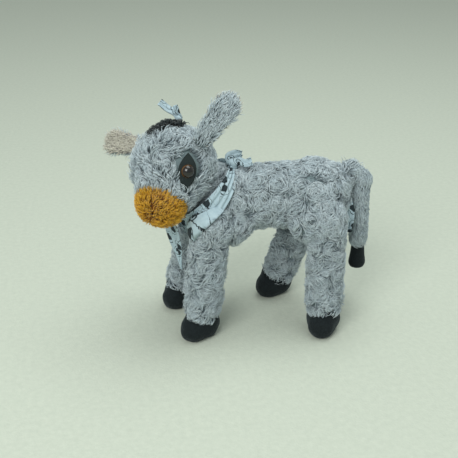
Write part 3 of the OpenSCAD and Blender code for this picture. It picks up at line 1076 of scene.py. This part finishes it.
# Which way each ear runs in the face's own directions, and how far in mm. It flops about the
# line across its root, so the way that its back faces follows from the two.
ears = {"left": (Vector((0.67, -0.66, 0.34)), 44), "right": (Vector((0.22, 0.97, -0.03)), 38)}
for number, (side, (runs, reach)) in enumerate(ears.items()):
    root = pivot("ear_flop_" + side)
    across = Vector(joints["ear_flop_" + side]["axis"]).normalized()
    along = (face @ runs).normalized()
    back_of = along.cross(across)
    own = np.array([across, back_of, along])
    body = "ear_" + side
    leaf = stuffed("ear_plush_" + side, [
        [(Vector((0, 0, 3)) * mm, 7.5 * mm), (Vector((0, 0, reach)) * mm, 11.5 * mm)],
    ], voxel=2.2 * mm, rounds=4, swell=0.5 * mm, lump=0.5 * mm)
    co = corners(leaf.data)
    co[:, 1] = co[:, 1] * 0.17 - 1.2 * mm + (co[:, 0] / (12 * mm)) ** 2 * -2.0 * mm
    co[:, 1] += np.sin(co[:, 2] / (56 * mm) * math.pi) * 2.0 * mm
    moved_to(leaf.data, np.array(root) + co @ own)
    backing.put_on(leaf)
    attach(leaf, body)
    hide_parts("ear_outer_" + side)

    def outside(p, n, out=np.array(back_of)):
        return n @ out > -0.25

    def inside(p, n, out=np.array(back_of)):
        return n @ out <= -0.25

    def to_tip(root, along=np.array(along)):
        return np.tile(along, (len(root), 1))

    for name, node, keep, finish, slot, per_cm2 in (
        ("ear_pile_", "ear_outer_", outside, grey_pile, "grey_plush", 105),
        ("ear_lining_pile_", "ear_lining_", inside, cream_pile, "cream_plush", 90),
    ):
        coat = pile(name + side, leaf, keep, to_tip, per_cm2=per_cm2, long=10 * mm, wide=1.0 * mm,
                    rise=4.6 * mm, bend=300 * mm, curl=0.5, clump=0.4, loose=0.4, seed=80 + number)
        finish.put_on(coat)
        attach(coat, body)
        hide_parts(node + side)

# ---------- Tail ----------
# A limp tube of grey plush sewn on under the back seam, ending in a flared tip of black velour.

tail_top = Vector((133, -1, 163)) * mm
tail_end = Vector((133, -2, 92)) * mm
tail_bag = stuffed("tail_plush", [[(tail_root, 6 * mm), (tail_top, 8 * mm), (tail_end, 8 * mm)]],
                   voxel=2.5 * mm, rounds=4, swell=0.6 * mm, lump=0.8 * mm)
backing.put_on(tail_bag)
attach(tail_bag, "tail")
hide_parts("tail_stuffing")


def down(root):
    return np.tile([0.25, 0.0, -1.0], (len(root), 1))


tail_coat = pile("tail_pile", tail_bag, lambda p, n: p[:, 0] > tail_root.x - 2 * mm, down,
                 per_cm2=90, long=13 * mm, rise=4.4 * mm, bend=14 * mm, curl=0.8, seed=91)
grey_pile.put_on(tail_coat)
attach(tail_coat, "tail")
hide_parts("tail_cover")
tip_top = pivot("tail_tip_flop") + Vector((-1.5, -1, 0)) * mm
tip = stuffed("tail_tip_velour", [[(tip_top, 7.5 * mm), (tip_top - Vector((0, 0, 20)) * mm, 9.8 * mm)]],
              voxel=2.2 * mm, rounds=3, swell=0.5 * mm, lump=1.0 * mm)
co = corners(tip.data)
flat_z = tip_top.z - 25 * mm
low = co[:, 2] < flat_z
co[low, 2] = flat_z - (flat_z - co[low, 2]) * 0.35
moved_to(tip.data, co)
velour.put_on(tip)
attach(tip, "tail_tip")
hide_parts("tail_tip")

# ---------- Scarf ----------
# A square of the same printed cotton, folded into a soft band, laid round the neck with its
# point on the chest and knotted at the nape.

band_centre = Vector((-45.2, 0, 158.5)) * mm
band_lean = math.radians(-40)
band_back = Vector((math.cos(band_lean), 0, -math.sin(band_lean)))
band_up = Vector((math.sin(band_lean), 0, math.cos(band_lean)))


def pushed_out(co, centre, radius):
    """Moves points that lie in a ball out to its surface."""
    off = co - np.array(centre)
    far = np.linalg.norm(off, axis=1, keepdims=True)
    return np.array(centre) + off * np.maximum(1, radius / np.maximum(far, 1e-9))


spine, side, width = [], [], []
for step in range(97):
    turn = math.radians(6 + 348 * step / 96)
    front = math.sin(turn / 2) ** 2
    radial = band_back * math.cos(turn) + Vector((0, -1, 0)) * math.sin(turn)
    spread = 14 * mm + 20 * mm * front
    middle_up = 3 * mm - spread / 2
    spine.append(band_centre + radial * (42.5 * mm) + band_up * middle_up)
    side.append(band_up)
    width.append(spread)
band = cloth_strip("scarf_band_cloth", spine, side, width, 1.1 * mm, 3.5, cells=16)
co = corners(band.data)
for centre, radius in (
    (shoulder, 25.5 * mm),
    (pivot("swing_front_right"), 25.5 * mm),
    (chest, 39 * mm),
    (head_centre, 38 * mm),
):
    co = pushed_out(co, centre, radius)
moved_to(band.data, co)
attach(band, "torso")
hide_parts("scarf_band")

nape = band_centre + band_back * (44 * mm) - band_up * (2 * mm)
nape_knot = knot("scarf_knot_cloth", nape, 6 * mm)
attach(nape_knot, "torso")
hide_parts("scarf_knot")
for number, (points, wide) in enumerate((
    ([(0, 0, 0), (7, -3, 5), (13, -5, 3), (20, -6, 5)], 9 * mm),
    ([(0, 0, 0), (-3, 5, 7), (5, 9, 9), (12, 12, 6)], 9 * mm),
)):
    spine = curve_through([nape + Vector(p) * mm for p in points], 18)
    across = np.cross(np.gradient(spine, axis=0), [0.2, -0.7, 0.7])
    end = cloth_strip("scarf_end_%d" % (number + 1), spine, across, wide, 1.0 * mm, 2.0, cells=8)
    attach(end, "torso")
    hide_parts("scarf_ends")

spine, side, width = [], [], []
for step in range(33):
    share = step / 32
    turn = math.radians(22 + 14 * share)
    far = (38 - 9 * share) * mm
    half = math.radians(32) * (1 - share) + 0.02
    spine.append(Vector((-0.045 - far * math.cos(turn), -far * math.sin(turn), 0.130 - 0.058 * share)))
    side.append(Vector((math.sin(turn), -math.cos(turn), 0)))
    width.append(2 * far * math.sin(half))
point = cloth_strip("scarf_point_cloth", spine, side, width, 0.8 * mm, 2.5, cells=16)
co = corners(point.data)
off = co[:, :2] - np.array([-0.045, 0.0])
near = np.linalg.norm(off, axis=1, keepdims=True)
wanted = (37 - 10 * (0.130 - co[:, 2]) / 0.058)[:, None] * mm
co[:, :2] = np.array([-0.045, 0.0]) + off * np.maximum(1, wanted / near)
moved_to(point.data, co)
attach(point, "scarf_point")
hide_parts("scarf_point")

# ---------- Tail ribbon ----------
# A scrap of the printed cotton caught in the seam beside the tail.

scrap_spine = curve_through([Vector(p) * mm for p in
                             ((114, -16, 142), (116, -20, 132), (115, -23, 120), (113, -25, 109))], 20)
scrap = cloth_strip("tail_ribbon_cloth", scrap_spine, np.tile([0.9, -0.35, 0.1], (20, 1)),
                    11 * mm, 0.9 * mm, 2.0, cells=8)
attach(scrap, "torso")
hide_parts("tail_ribbon")
